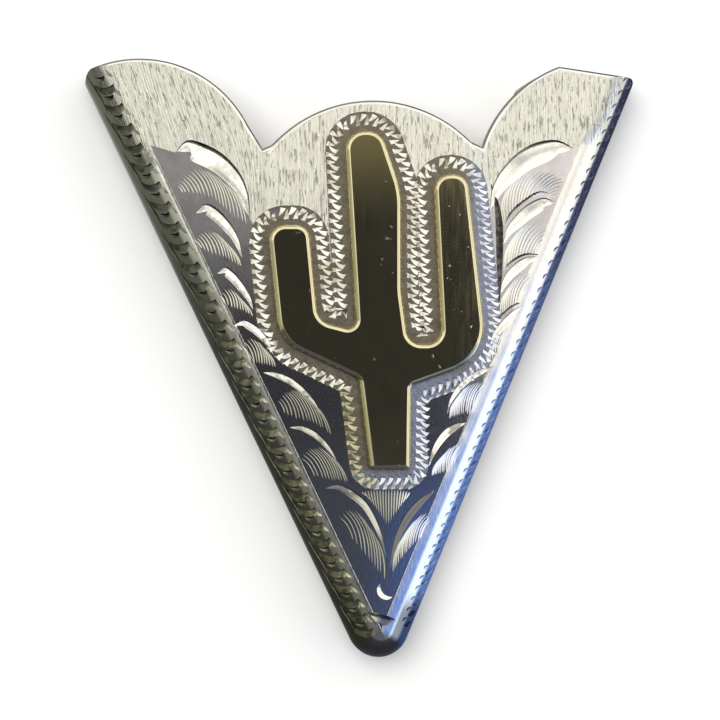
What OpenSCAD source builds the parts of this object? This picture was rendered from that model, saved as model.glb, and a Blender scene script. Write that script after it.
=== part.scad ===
/* [Sheet] */
// Thickness of the silver sheet
sheet_t = 0.8; // [0.6:0.05:1]
// Outside bend radius of the rolled sides
roll_r = 2.1; // [1.9:0.1:2.4]
// Straight part of each side between its two bends
side_wall = 0.8; // [0.5:0.1:1.2]
// Angle between each side and the middle line
side_angle = 24; // [23.5:0.1:25]
// How far the middle line leans to the left, in degrees
lean = 1.55; // [0:0.05:2]
// Radius of the nose, seen from the front
nose_r = 2.25; // [1.8:0.05:2.4]
// Flat width of the back flanges inside the bends
flange_w = 5.2; // [3.5:0.1:6]
// Corner radius at the foot of the back window
window_r = 1.2; // [0.5:0.1:2]

/* [Scalloped top] */
// Height of the tallest lobe above the foot of the nose
tip_h = 42; // [41:0.1:43]
// Radius of the left lobe
left_lobe_r = 8.4; // [8:0.1:9]
// Radius of the middle lobe
middle_lobe_r = 9.7; // [9.4:0.1:10.2]
// Radius of the right lobe
right_lobe_r = 9.15; // [8.8:0.05:9.4]
// Slope of the straight cut on the right lobe, in degrees
cut_slope = 8; // [6:0.1:10]

/* [Cactus] */
// Thickness of the cactus overlay
cactus_t = 0.8; // [0.5:0.05:1.2]
// Radius of the overlay's rounded upper edge
cactus_edge_r = 0.3; // [0.1:0.05:0.35]

/* [Tack pin] */
// Radius of the post
pin_r = 0.5; // [0.4:0.05:0.7]
// Length of the straight part of the post
pin_straight = 2.5; // [2:0.1:2.8]
// Length of the point
pin_point = 0.9; // [0.5:0.1:1]
// Radius of the pad that holds the post to the plate
pad_r = 1.5; // [1.2:0.1:2]
// Thickness of the pad
pad_t = 0.35; // [0.2:0.05:0.5]
// How far the post stands above the foot of the back window
pin_past_window = 5; // [4.5:0.1:8]

/* [Hidden] */
$fn = 96;

silver = [0.84, 0.83, 0.78];
gold = [0.66, 0.55, 0.28];

// Film of solder between the plate and what is fixed to it
solder_film = 0.02;
// How far a cutter stands out of what it cuts
past = 1;
// Radius of the pin's blunt tip
pin_tip_r = 0.1;
// Steps that round the overlay's upper edge, and flats in each rounded corner
edge_steps = 3;
corner_flats = 8;

depth = 2 * roll_r + side_wall;
// A side is drawn this far up and this far down from the foot
side_run = 60;
side_lead = 10;
// The nose's circle cuts a little into each side, and its middle lies this far from the sharp foot
nose_bite = 0.06;
nose_from_foot = (nose_r - nose_bite) / sin(side_angle);
pocket_past_nose = 0.4;
right_angle = side_angle - lean;
left_angle = side_angle + lean;

// Sketch places, in millimetres, from a point near the middle of the plate
foot_at = [1.40, -24.11];
nose_at = foot_at + nose_from_foot * [-sin(lean), cos(lean)];
left_lobe_at = [-15.6, tip_h + nose_at[1] - nose_r - left_lobe_r];
middle_lobe_at = left_lobe_at + [16.34, -4.1];
right_lobe_at = left_lobe_at + [32.7, -0.47];
cut_from = left_lobe_at + [29.07, 8.06];
// The straight cut is a long block that starts a little before its corner
cut_block = [20, 10];
cut_lead = 3;
// Below this height the sides alone bound the plate
lobe_overlap = 0.05;
lobe_floor = left_lobe_at[1] - lobe_overlap;

// Overlay outline, clockwise from the trunk's top: x, y and corner radius
cactus_corners = [
  [-1.40, 16.05, 1.35],
  [1.15, 16.05, 1.35],
  [2.60, 11.80, 6.00],
  [2.60, 4.80, 6.00],
  [3.10, 1.15, 1.00],
  [5.45, 1.15, 1.00],
  [4.85, 13.05, 1.15],
  [7.25, 13.05, 1.15],
  [8.70, 0.15, 3.40],
  [3.30, -1.80, 0.35],
  [3.22, -7.65, 0.25],
  [0.42, -7.65, 0.25],
  [-0.40, -1.25, 0.60],
  [-5.95, 1.35, 2.80],
  [-6.80, 9.45, 1.15],
  [-3.90, 9.45, 1.00],
  [-3.25, 2.75, 1.20],
  [-0.55, 2.05, 0.60]
];

// Where the sides meet the top's outline, which sets the overall width
function side_way(angle, side) = [side * sin(angle), cos(angle)];
function along_to_circle(p, u, c, r) =
  let (q = p - c, b = q * u) -b + sqrt(b * b - q * q + r * r);
function along_to_line(p, u, on, slope) =
  (on[1] - p[1] - tan(slope) * (p[0] - on[0])) / (u[1] + tan(slope) * u[0]);

left_reach = along_to_circle(foot_at, side_way(left_angle, -1), left_lobe_at, left_lobe_r);
right_reach = along_to_line(foot_at, side_way(right_angle, 1), cut_from, cut_slope);
left_corner = foot_at + left_reach * side_way(left_angle, -1);
right_corner = foot_at + right_reach * side_way(right_angle, 1);
middle = [
  (left_corner[0] + right_corner[0]) / 2,
  nose_at[1] - nose_r + tip_h / 2
];

// Rounded corners: each corner [x, y, r] becomes the points of its arc
function unit(v) = v / norm(v);
function turned(v) = [-v[1], v[0]];
function xy(p) = [p[0], p[1]];
function arc_points(before, at, after, r) =
  let (
    u = unit(before - at),
    v = unit(after - at),
    half = acos(u * v) / 2,
    centre = at + unit(u + v) * r / sin(half),
    from = at + u * r / tan(half) - centre,
    to = at + v * r / tan(half) - centre,
    start = atan2(from[1], from[0]),
    turn = (atan2(to[1], to[0]) - start + 540) % 360 - 180
  )
  [for (k = [0 : corner_flats]) centre + r * [cos(start + turn * k / corner_flats),
                                              sin(start + turn * k / corner_flats)]];
function rounded(corners) =
  let (n = len(corners))
  [for (i = [0 : n - 1])
    let (c = corners[i])
    each (c[2] > 0
      ? arc_points(xy(corners[(i + n - 1) % n]), xy(c), xy(corners[(i + 1) % n]), c[2])
      : [xy(c)])];

// A clockwise outline moved inwards by d, with its radii kept true
function shrunk(corners, d) =
  let (n = len(corners))
  [for (i = [0 : n - 1])
    let (
      a = unit(xy(corners[i]) - xy(corners[(i + n - 1) % n])),
      b = unit(xy(corners[(i + 1) % n]) - xy(corners[i])),
      bends_in = a[0] * b[1] - a[1] * b[0] > 0,
      inwards = -(turned(a) + turned(b)) / (1 + a * b),
      place = xy(corners[i]) + d * inwards
    )
    [place[0], place[1], corners[i][2] + (bends_in ? d : -d)]];

// Section through a rolled side: x outwards from the side's foot line, y upwards
module side_section(inset) {
  bend = roll_r - inset;
  translate([-roll_r, roll_r]) circle(bend);
  translate([-roll_r, roll_r + side_wall]) circle(bend);
  translate([-roll_r - bend, roll_r]) square([2 * bend, side_wall]);
  translate([-side_run - roll_r, inset]) square([side_run, depth - 2 * inset]);
}

// Everything inside the right side, drawn in from its outer face
module right_of_middle(inset) {
  rotate([0, 0, -side_angle]) rotate([90, 0, 0]) translate([0, 0, -side_run])
    linear_extrude(side_run + side_lead) side_section(inset);
}

// Both sides together, meeting at a sharp foot at the origin
module wedge(inset) {
  intersection() {
    right_of_middle(inset);
    mirror([1, 0, 0]) right_of_middle(inset);
  }
}

// What is filed off the sharp foot to round the nose
module nose_waste() {
  flank = nose_from_foot - nose_r * sin(side_angle);
  translate([0, 0, -past]) linear_extrude(depth + 2 * past) difference() {
    translate([-nose_r - past, -past]) square([2 * (nose_r + past), flank + past]);
    translate([0, nose_from_foot]) circle(nose_r);
  }
}

// The hollow stops short of the nose
module pocket() {
  intersection() {
    wedge(sheet_t);
    translate([-side_run, nose_from_foot - pocket_past_nose, -past])
      cube([2 * side_run, 2 * side_run, depth + 2 * past]);
  }
}

module folded_sheet() {
  difference() {
    wedge(0);
    nose_waste();
    pocket();
    back_window();
  }
}

// The back stays open between the flanges
module back_window() {
  foot = (roll_r + flange_w) / sin(side_angle);
  wide = side_run * tan(side_angle);
  translate([0, 0, -past]) linear_extrude(sheet_t + 2 * past)
    polygon(rounded([[0, foot, window_r], [-wide, foot + side_run, 0], [wide, foot + side_run, 0]]));
}

// Puts what is drawn from the sharp foot into its place on the sketch
module on_foot() {
  translate([foot_at[0], foot_at[1], 0]) rotate([0, 0, lean]) children();
}

// Three lobes and everything below them
module top_outline() {
  difference() {
    union() {
      translate(left_lobe_at) circle(left_lobe_r);
      translate(middle_lobe_at) circle(middle_lobe_r);
      translate(right_lobe_at) circle(right_lobe_r);
      translate([-side_run, lobe_floor - side_run]) square([2 * side_run, side_run]);
    }
    translate(cut_from) rotate(-cut_slope) translate([-cut_lead, 0]) square(cut_block);
  }
}

module tip_shell() {
  color(silver) translate([-middle[0], -middle[1], 0])
    intersection() {
      on_foot() folded_sheet();
      translate([0, 0, -past]) linear_extrude(depth + 2 * past) top_outline();
    }
}

// The overlay's edge is rounded over in a few thin steps
module cactus_overlay() {
  straight = cactus_t - cactus_edge_r;
  color(gold) translate([-middle[0], -middle[1], depth + solder_film]) {
    linear_extrude(straight) polygon(rounded(cactus_corners));
    for (k = [0 : edge_steps - 1]) {
      low = cactus_edge_r * sin(90 * k / edge_steps);
      high = cactus_edge_r * sin(90 * (k + 1) / edge_steps);
      inset = cactus_edge_r * (1 - cos(90 * (k + 1) / edge_steps));
      translate([0, 0, straight + low]) linear_extrude(high - low)
        polygon(rounded(shrunk(cactus_corners, inset)));
    }
  }
}

// A short pointed post on a pad, which keeps the collar from slipping out
module tack_pin() {
  pin_from_foot = (roll_r + flange_w) / sin(side_angle) + pin_past_window;
  pad_low = depth - sheet_t - solder_film - pad_t;
  post_low = pad_low - pin_straight;
  color(silver) translate([-middle[0], -middle[1], 0])
    on_foot() translate([0, pin_from_foot, 0]) {
      translate([0, 0, pad_low]) cylinder(h = pad_t, r = pad_r);
      translate([0, 0, post_low]) cylinder(h = pin_straight, r = pin_r);
      translate([0, 0, post_low - pin_point]) cylinder(h = pin_point, r1 = pin_tip_r, r2 = pin_r);
    }
}

tip_shell();
cactus_overlay();
tack_pin();
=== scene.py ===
import math
import random

import bmesh
import bpy
from mathutils import Matrix, Vector


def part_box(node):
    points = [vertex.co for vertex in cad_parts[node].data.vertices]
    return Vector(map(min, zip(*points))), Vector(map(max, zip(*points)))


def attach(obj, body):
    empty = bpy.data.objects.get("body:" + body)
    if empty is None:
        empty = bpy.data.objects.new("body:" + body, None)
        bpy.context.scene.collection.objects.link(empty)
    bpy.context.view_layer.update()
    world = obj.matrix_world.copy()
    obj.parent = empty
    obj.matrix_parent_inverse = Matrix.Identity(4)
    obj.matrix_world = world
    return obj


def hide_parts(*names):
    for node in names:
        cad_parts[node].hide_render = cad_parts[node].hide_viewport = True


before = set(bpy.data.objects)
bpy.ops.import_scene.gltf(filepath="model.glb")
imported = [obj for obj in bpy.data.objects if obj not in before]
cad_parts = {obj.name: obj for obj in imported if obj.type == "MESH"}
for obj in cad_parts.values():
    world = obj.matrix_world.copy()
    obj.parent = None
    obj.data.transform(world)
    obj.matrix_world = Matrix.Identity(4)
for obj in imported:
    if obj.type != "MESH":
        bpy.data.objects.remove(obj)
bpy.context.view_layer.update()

MM = 0.001

# Sheet and fold, in millimetres, as the part's source has them, on a drawing whose middle lies
# a little off the part's own
DRAWING_SHIFT = (-0.0665, -0.1040, 0.0)
FOOT = Vector((1.525, -24.028))
RIGHT_ANGLE = 22.45
LEFT_ANGLE = 25.55
DEPTH = 5.0
SHEET_T = 0.8
ROLL_R = 2.1
ROLL_LOW = DEPTH - ROLL_R
SIDE_RUN = 60.0
SIDE_LEAD = 10.0
NOSE_R = 2.149
FLANGE_EDGE = 7.3
WINDOW_R = 1.2
POCKET_FROM_FOOT = 4.984

LEFT_LOBE = ((-15.475, 12.704), 8.4)
MIDDLE_LOBE = ((0.865, 8.604), 9.7)
RIGHT_LOBE = ((17.225, 12.234), 9.15)
LOBE_FLOOR = 12.654
CUT_FROM = (13.595, 20.85)
CUT_SLOPE = 8.0
RIM_R = 0.32
LEFT_CORNER_R = 0.95
RIGHT_CORNER_R = 0.45

# Into how many flats each round form is divided
ROLL_FLATS = 48
POCKET_FLATS = 16
NOSE_FLATS = 96
LOBE_FLATS = 160
RIM_FLATS = 12
CORNER_FLATS = 14
BAND_FLATS = 8
POST_FLATS = 48

# A cutter stands this far out of what it cuts
PAST = 1.0
# What bounds the sheet reaches this far past its faces, so that no two faces share a plane
CLEAR = 0.004
# More than the tip's whole width
SPAN = 40.0
# Points closer than this become one
WELD = 1e-4

# Webs that fill the notches between the lobes a little, as outlines
NOTCH_WEBS = [
    [(-8.75, 17.74), (-6.95, 14.85), (-6.2, 15.2), (-6.4, 13.2), (-9.0, 13.2)],
    [(7.7, 15.48), (8.6, 15.05), (8.85, 15.85), (9.2, 14.0), (7.6, 14.0)],
]

SKETCH_SHIFT = (0.1253, 0.0817)
CACTUS_LOW = 5.02
CACTUS_T = 0.8
CACTUS_EDGE = 0.3
CACTUS_UNDER_EDGE = 0.06

# Overlay outline on the sketch, clockwise from the trunk's top: x, y and corner radius
CACTUS_CORNERS = [
    (-1.40, 16.05, 1.35), (1.15, 16.05, 1.35), (2.60, 11.80, 6.00), (2.60, 4.80, 6.00),
    (3.10, 1.15, 1.00), (5.45, 1.15, 1.00), (4.85, 13.05, 1.15), (7.25, 13.05, 1.15),
    (8.70, 0.15, 3.40), (3.30, -1.80, 0.35), (3.22, -7.65, 0.35), (0.42, -7.65, 0.35),
    (-0.40, -1.25, 0.60), (-5.95, 1.35, 2.80), (-6.80, 9.45, 1.15), (-3.90, 9.45, 1.00),
    (-3.25, 2.75, 1.20), (-0.55, 2.05, 0.60),
]

# Finishes on the shell, in the order of its material slots
(
    BRUSHED, POLISHED, INSIDE, GROUND, BRIGHT_CUT, LINE_CUT, BORDER, DARKENED_CUT, SHADED_CUT,
    TOOTH_CUT,
) = range(10)


# Nodes

class Wire:
    """A socket of a node tree that can stand in a sum."""

    def __init__(self, bench, socket):
        self.bench = bench
        self.socket = socket

    def _maths(self, operation, first, second):
        return self.bench.add("ShaderNodeMath", {"operation": operation}, {0: first, 1: second})

    def __add__(self, other):
        return self._maths("ADD", self, other)

    def __radd__(self, other):
        return self._maths("ADD", other, self)

    def __sub__(self, other):
        return self._maths("SUBTRACT", self, other)

    def __rsub__(self, other):
        return self._maths("SUBTRACT", other, self)

    def __mul__(self, other):
        return self._maths("MULTIPLY", self, other)

    def __rmul__(self, other):
        return self._maths("MULTIPLY", other, self)

    def __truediv__(self, other):
        return self._maths("DIVIDE", self, other)

    def __rtruediv__(self, other):
        return self._maths("DIVIDE", other, self)


class Bench:
    """A node tree that is filled one node at a time."""

    def __init__(self, owner):
        owner.use_nodes = True
        self.owner = owner
        self.tree = owner.node_tree
        self.tree.nodes.clear()

    def add(self, kind, settings=None, sockets=None, out=0):
        node = self.tree.nodes.new(kind)
        for name, value in (settings or {}).items():
            if name == "stops":
                ramp = node.color_ramp
                while len(ramp.elements) < len(value):
                    ramp.elements.new(1.0)
                for stop, (place, colour) in zip(ramp.elements, value):
                    stop.position = place
                    stop.color = (*colour, 1.0)
            else:
                setattr(node, name, value)
        for name, value in (sockets or {}).items():
            socket = node.inputs[name]
            if isinstance(value, Wire):
                self.tree.links.new(value.socket, socket)
            else:
                socket.default_value = value
        return Wire(self, node.outputs[out] if len(node.outputs) else None)

    def smooth(self, value, low, high, to_low=0.0, to_high=1.0):
        return self.add(
            "ShaderNodeMapRange",
            {"interpolation_type": "SMOOTHSTEP"},
            {"Value": value, "From Min": low, "From Max": high, "To Min": to_low, "To Max": to_high},
        )

    def blend(self, share, first, second, how="MIX"):
        return self.add(
            "ShaderNodeMix",
            {"data_type": "RGBA", "blend_type": how},
            {0: share, 6: first, 7: second},
            out=2,
        )

    def millimetres(self):
        """Object coordinates in millimetres."""
        place = self.add("ShaderNodeTexCoord", out=3)
        return self.add(
            "ShaderNodeVectorMath", {"operation": "SCALE"}, {0: place, "Scale": 1 / MM}
        )

    def axes(self, place):
        """A place's x, y and z apart."""
        parts = self.add("ShaderNodeSeparateXYZ", None, {0: place}).socket.node
        return [Wire(self, output) for output in parts.outputs]

    def spot(self):
        """The place in millimetres, then its x, y and z apart."""
        place = self.millimetres()
        return place, *self.axes(place)

    def clamped(self, value):
        return self.add("ShaderNodeClamp", None, {0: value})

    def noise(self, place, scale, detail=2.0, roughness=0.5):
        return self.add(
            "ShaderNodeTexNoise", {"noise_dimensions": "3D"},
            {"Vector": place, "Scale": scale, "Detail": detail, "Roughness": roughness},
        )

    def grain(self, place, stretch, detail, roughness, turn=0.0):
        """Noise drawn out along a direction that may be turned about Z."""
        stretched = self.add(
            "ShaderNodeMapping", {"vector_type": "POINT"},
            {"Vector": place, "Scale": stretch, "Rotation": (0.0, 0.0, turn)},
        )
        return self.noise(stretched, 1.0, detail, roughness)

    def bump(self, height, strength, distance):
        return self.add(
            "ShaderNodeBump", None, {"Height": height, "Strength": strength, "Distance": distance}
        )

    def metal(self, colour, roughness, normal=None):
        sockets = {"Base Color": colour, "Metallic": 1.0, "Roughness": roughness}
        if normal is not None:
            sockets["Normal"] = normal
        shader = self.add("ShaderNodeBsdfPrincipled", None, sockets)
        self.add("ShaderNodeOutputMaterial", None, {"Surface": shader})
        return self.owner


def new_finish(name):
    return Bench(bpy.data.materials.new(name))


# Silver and gold finishes

# Painted dark reflection: what the silver sends back of each colour where a dark room is painted into
# it
TONED = (0.30, 0.30, 0.30, 1)


def brush_marks(b, x, y):
    """Colour, roughness and height of fine upright lines, which slant in the left lobe."""
    slant = b.smooth(x, -6.0, -10.5, 0.0, 0.30)
    across = x + slant * (y - 15.0)
    lines_at = b.add("ShaderNodeCombineXYZ", None, {0: across, 1: y, 2: 0.0})
    fine = b.grain(lines_at, (11.0, 0.30, 1.0), 3.0, 0.65)
    broad = b.grain(lines_at, (3.2, 0.14, 1.0), 2.0, 0.5)
    dark_stroke = b.smooth(b.grain(lines_at, (6.0, 0.75, 1.0), 2.0, 0.7), 0.54, 0.70)
    colour = b.blend(dark_stroke * 0.7, (0.96, 0.94, 0.86, 1), (0.42, 0.42, 0.34, 1))
    colour = b.blend(b.smooth(fine, 0.42, 0.64, 0.0, 0.35), colour, (0.62, 0.62, 0.53, 1))
    return colour, fine * 0.16 + 0.20, fine + broad * 0.8 - dark_stroke * 0.7


def brushed_silver():
    """The scalloped field."""
    b = new_finish("brushed_silver")
    _, x, y, _ = b.spot()
    colour, roughness, height = brush_marks(b, x, y)
    return b.metal(colour, roughness, b.bump(height, 0.8, 0.00010))


def toned_places(b, x, y, z):
    """How far a dark reflection is painted onto the silver: the left roll and the nose, below their
    upper curve.
    """
    off_middle = x - 1.46 + (y + 24.13) * 0.027
    left = b.smooth(off_middle, 0.2, -0.4, 0.0, 0.86)
    nose = b.smooth(y, -16.0, -17.8)
    return b.clamped(left + nose) * b.smooth(z, 4.90, 4.80) * b.smooth(z, 0.85, 1.6)


def polished_silver():
    """The rolled sides, with soft waves from the hammer; brush marks run over their upper ends."""
    b = new_finish("polished_silver")
    place, x, y, z = b.spot()
    waves = b.noise(place, 0.45, 1.0, 0.4)
    hair = b.grain(place, (9.0, 1.2, 1.0), 2.0, 0.6, 0.4)
    stain = b.noise(place, 0.3, 3.0, 0.6)
    stained = b.smooth(stain, 0.45, 0.75, 0.0, 0.5)
    colour = b.blend(stained, (0.92, 0.91, 0.88, 1), (0.84, 0.80, 0.70, 1))
    roughness = b.smooth(hair, 0.3, 0.8, 0.10, 0.22)
    marked_colour, marked_roughness, marks = brush_marks(b, x, y)
    lowest = b.smooth(x, -2.0, 2.0, 4.58, 4.86)
    above = y - b.smooth(x, -2.0, 2.0, 0.0, 1.5)
    marked = b.smooth(above, 13.4, 15.4) * b.smooth(z - lowest, -0.25, 0.10)
    colour = b.blend(marked, colour, marked_colour)
    # Painted dark reflection on the left roll and the nose
    colour = b.blend(toned_places(b, x, y, z), colour, TONED, "MULTIPLY")
    roughness = roughness + marked * (marked_roughness - roughness)
    height = waves * 0.25 + hair * 0.01 + marks * marked
    return b.metal(colour, roughness, b.bump(height, 0.8, 0.00010))


def leaf_ground():
    """Plain silver left between the cuts: a painted pale blue reflection towards the nose, more handled
    towards the top.
    """
    b = new_finish("leaf_ground")
    place, _, y, _ = b.spot()
    scuffs = b.grain(place, (7.0, 2.0, 1.0), 3.0, 0.6, 0.3)
    haze = b.noise(place, 0.5, 3.0, 0.55)
    warm = b.blend(b.smooth(haze, 0.4, 0.7), (0.84, 0.82, 0.84, 1), (0.74, 0.68, 0.70, 1))
    # Painted pale blue reflection towards the nose
    colour = b.blend(b.smooth(y, 4.0, -4.0), warm, (0.78, 0.80, 0.86, 1))
    worn = b.smooth(y, -4.0, 12.0, 0.04, 0.15)
    return b.metal(colour, worn + scuffs * 0.04, b.bump(scuffs, 0.05, 0.00002))


def clean_places(b, x, y):
    """Where the border is painted paler, as if lit: along the right arm, right of the trunk's foot and
    under it.
    """
    arm = b.smooth(x, 6.8, 8.4)
    trunk = b.smooth(x, 3.1, 3.6) * b.smooth(y, 0.0, -1.6)
    return b.clamped(arm + trunk + b.smooth(y, -7.4, -8.2))


def border_ground():
    """Silver under the border, painted dark as a dim reflection and painted paler where lit towards the
    right and the foot, dark again at the nose.
    """
    b = new_finish("border_ground")
    place, x, y, _ = b.spot()
    grime = b.noise(place, 2.5, 3.0, 0.6)
    clean = clean_places(b, x, y) * b.smooth(y, -15.5, -14.0)
    dark = b.blend(grime, (0.16, 0.14, 0.10, 1), (0.34, 0.30, 0.22, 1))
    pale = b.blend(grime, (0.26, 0.28, 0.36, 1), (0.46, 0.49, 0.60, 1))
    return b.metal(b.blend(clean, dark, pale), grime * 0.15 + 0.20, b.bump(grime, 0.4, 0.00003))


def bright_cut():
    """Bright cuts and burnished rims: faint drag lines, clouded in places; painted grey shade at the
    lower left, painted dark shade near the nose with a painted highlight streak.
    """
    b = new_finish("bright_cut")
    place, x, y, _ = b.spot()
    drag = b.noise(place, 6.0, 2.0, 0.6)
    colour = b.blend(drag * 0.4, (0.96, 0.95, 0.92, 1), (0.86, 0.84, 0.78, 1))
    # Painted grey shade on the cuts at the lower left
    greyer = b.smooth(y, 1.0, -4.0, 0.0, 0.75) * b.smooth(x, 2.4, 0.6) * b.smooth(y, -15.4, -14.8)
    colour = b.blend(greyer, colour, (0.50, 0.49, 0.42, 1))
    # Painted dark shade on the lowest cuts, broken by a painted highlight streak
    under = y - b.smooth(x, -0.9, -1.3, 0.0, 0.9)
    lowest = b.smooth(under, -9.05, -9.35) * b.smooth(y, -15.4, -14.8)
    streak = b.smooth(y, -9.3, -10.0) * b.smooth(y, -12.9, -11.4) * b.smooth(x, 1.95, 1.75)
    colour = b.blend(lowest * (1.0 - streak * 0.9), colour, (0.17, 0.17, 0.18, 1))
    cloud = b.smooth(b.noise(place, 1.1, 2.0, 0.6), 0.46, 0.60)
    right_leaves = b.smooth(x, 5.0, 7.0) * b.smooth(y, 1.0, 3.0, 0.0, 0.75)
    clear = b.clamped(right_leaves + b.smooth(y, 15.2, 15.6))
    clouded = cloud * b.smooth(y, 2.0, -3.0, 0.35, 0.85) * b.smooth(y, -9.0, -8.0) * (1.0 - clear)
    colour = b.blend(clouded, colour, (0.28, 0.27, 0.23, 1))
    return b.metal(colour, drag * 0.12 + 0.05, b.bump(drag, 0.2, 0.00002))


def tooth_cut():
    """The border's teeth: white, with a painted lavender reflection where the border is painted lit,
    olive left of the foot.
    """
    b = new_finish("tooth_cut")
    place, x, y, _ = b.spot()
    cloud = b.smooth(b.noise(place, 1.1, 2.0, 0.5), 0.35, 0.65)
    white = b.blend(cloud, (0.62, 0.60, 0.53, 1), (0.96, 0.95, 0.92, 1))
    lavender = b.blend(cloud, (0.58, 0.61, 0.74, 1), (0.86, 0.88, 0.98, 1))
    olive = b.blend(cloud, (0.26, 0.24, 0.15, 1), (0.58, 0.54, 0.38, 1))
    # Painted lavender reflection where the border is painted lit
    colour = b.blend(clean_places(b, x, y), white, lavender)
    colour = b.blend(b.smooth(y, -1.0, -3.0) * b.smooth(x, 1.2, 0.8), colour, olive)
    return b.metal(colour, cloud * 0.10 + 0.06)


def line_cut():
    """The fine lines under each leaf, with painted grey shade at the lower left, a painted blue
    reflection at the lower right and painted shade at the top right.
    """
    b = new_finish("line_cut")
    place, x, y, _ = b.spot()
    drag = b.noise(place, 9.0, 2.0, 0.6)
    colour = b.blend(drag, (0.95, 0.93, 0.86, 1), (0.80, 0.78, 0.70, 1))
    # Painted grey shade at the lower left
    greyer = b.smooth(y, 3.0, -4.0, 0.0, 0.85) * b.smooth(x, 3.2, 1.6)
    colour = b.blend(greyer, colour, (0.40, 0.40, 0.34, 1))
    # Painted blue reflection at the lower right
    colour = b.blend(b.smooth(y, 1.0, -2.0) * b.smooth(x, 3.0, 4.2), colour, (0.84, 0.86, 1.0, 1))
    shaded = b.smooth(x, 11.6, 13.0) * b.smooth(y, 11.6, 12.6)
    colour = b.blend(shaded * 0.8, colour, (0.30, 0.30, 0.28, 1))
    return b.metal(colour, drag * 0.15 + 0.12)


def darkened_cut():
    """Cuts on the rolls, coloured as painted reflections: grey-olive on the left, paler towards the
    nose, slate on the right, painted blue lower down.
    """
    b = new_finish("darkened_cut")
    place, x, y, z = b.spot()
    cloud = b.smooth(b.noise(place, 1.6, 2.0, 0.6), 0.35, 0.65)
    dark = b.blend(cloud, (0.13, 0.14, 0.12, 1), (0.32, 0.33, 0.28, 1))
    pale = b.blend(cloud, (0.22, 0.22, 0.17, 1), (0.60, 0.58, 0.46, 1))
    slate = b.blend(cloud, (0.13, 0.14, 0.20, 1), (0.30, 0.32, 0.44, 1))
    blue = b.blend(cloud, (0.26, 0.34, 0.60, 1), (0.50, 0.62, 0.92, 1))
    slate = b.blend(b.smooth(y, 9.0, -1.0) * b.smooth(y, -17.6, -16.8), slate, blue)
    olive = b.blend(b.smooth(y, 9.0, -2.0), dark, pale)
    duller = b.smooth(x, 0.8, 1.3, 0.12, 0.40)
    colour = b.blend(b.smooth(x, 0.8, 1.3), olive, slate)
    # Painted dark reflection on the left roll and the nose
    colour = b.blend(toned_places(b, x, y, z), colour, TONED, "MULTIPLY")
    return b.metal(colour, cloud * 0.15 + duller)


def shaded_cut():
    """Cuts painted black as shade: the valley beside the right arm, lines over the right leaves, steep
    walls.
    """
    b = new_finish("shaded_cut")
    cloud = b.smooth(b.noise(b.millimetres(), 2.4, 3.0, 0.6), 0.35, 0.65)
    colour = b.blend(cloud, (0.04, 0.04, 0.04, 1), (0.16, 0.16, 0.15, 1))
    return b.metal(colour, cloud * 0.15 + 0.15)


def inside_silver():
    """The fold's inner faces, left as they came from the torch and the pickle."""
    b = new_finish("inside_silver")
    place = b.millimetres()
    cloud = b.noise(place, 0.6, 4.0, 0.6)
    grain = b.noise(place, 14.0, 3.0, 0.7)
    colour = b.blend(b.smooth(cloud, 0.35, 0.7), (0.86, 0.85, 0.82, 1), (0.64, 0.61, 0.55, 1))
    return b.metal(colour, cloud * 0.2 + 0.30, b.bump(grain, 0.35, 0.00003))


def polished_gold():
    """The overlay's gold, buffed up and down, with small dents and an olive cloud here and there."""
    b = new_finish("polished_gold")
    place = b.millimetres()
    buff = b.grain(place, (5.0, 0.35, 1.0), 3.0, 0.6)
    cloud = b.noise(place, 0.35, 3.0, 0.6)
    specks = b.noise(place, 2.2, 2.0, 0.5)
    colour = b.blend(b.smooth(cloud, 0.35, 0.7), (0.80, 0.71, 0.46, 1), (0.72, 0.66, 0.42, 1))
    roughness = b.smooth(buff, 0.3, 0.75, 0.03, 0.055) + b.smooth(specks, 0.70, 0.75, 0.0, 0.08)
    height = buff * 0.10 + b.smooth(specks, 0.68, 0.78) * 0.4
    return b.metal(colour, roughness, b.bump(height, 0.10, 0.00002))


def pin_steel():
    """Drawn wire: rings from the file at its point and a grey sheen."""
    b = new_finish("pin_steel")
    rings = b.grain(b.millimetres(), (0.6, 0.6, 12.0), 3.0, 0.6)
    colour = b.blend(rings, (0.72, 0.72, 0.70, 1), (0.52, 0.52, 0.52, 1))
    return b.metal(colour, rings * 0.15 + 0.2, b.bump(rings, 0.3, 0.00002))


def pale_floor():
    b = new_finish("pale_floor")
    haze = b.noise(b.millimetres(), 0.02, 2.0, 0.5)
    colour = b.blend(haze, (0.90, 0.90, 0.90, 1), (0.87, 0.87, 0.87, 1))
    shader = b.add("ShaderNodeBsdfPrincipled", None, {"Base Color": colour, "Roughness": 0.7})
    b.add("ShaderNodeOutputMaterial", None, {"Surface": shader})
    return b.owner


# Workshop helpers: solids in millimetres that are cut from each other

shell_finishes = [
    brushed_silver(), polished_silver(), inside_silver(), leaf_ground(), bright_cut(), line_cut(),
    border_ground(), darkened_cut(), shaded_cut(), tooth_cut(),
]


def as_object(name, bm, finishes):
    mesh = bpy.data.meshes.new(name)
    bm.to_mesh(mesh)
    bm.free()
    for finish in finishes:
        mesh.materials.append(finish)
    made = bpy.data.objects.new(name, mesh)
    bpy.context.scene.collection.objects.link(made)
    return made


def workpiece(name, bm, finish=None):
    """Turns a bmesh into an object that holds every finish of the shell."""
    if finish is not None:
        for face in bm.faces:
            face.material_index = finish
    return as_object(name, bm, shell_finishes)


def worked(target, tool, operation):
    """Cuts, joins or intersects target with tool, and uses the tool up."""
    saw = target.modifiers.new("saw", "BOOLEAN")
    saw.operation = operation
    saw.solver = "MANIFOLD"
    saw.object = tool
    cut = bpy.data.meshes.new_from_object(
        target.evaluated_get(bpy.context.evaluated_depsgraph_get())
    )
    target.modifiers.clear()
    target.data = cut
    bpy.data.objects.remove(tool)
    return target


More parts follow.
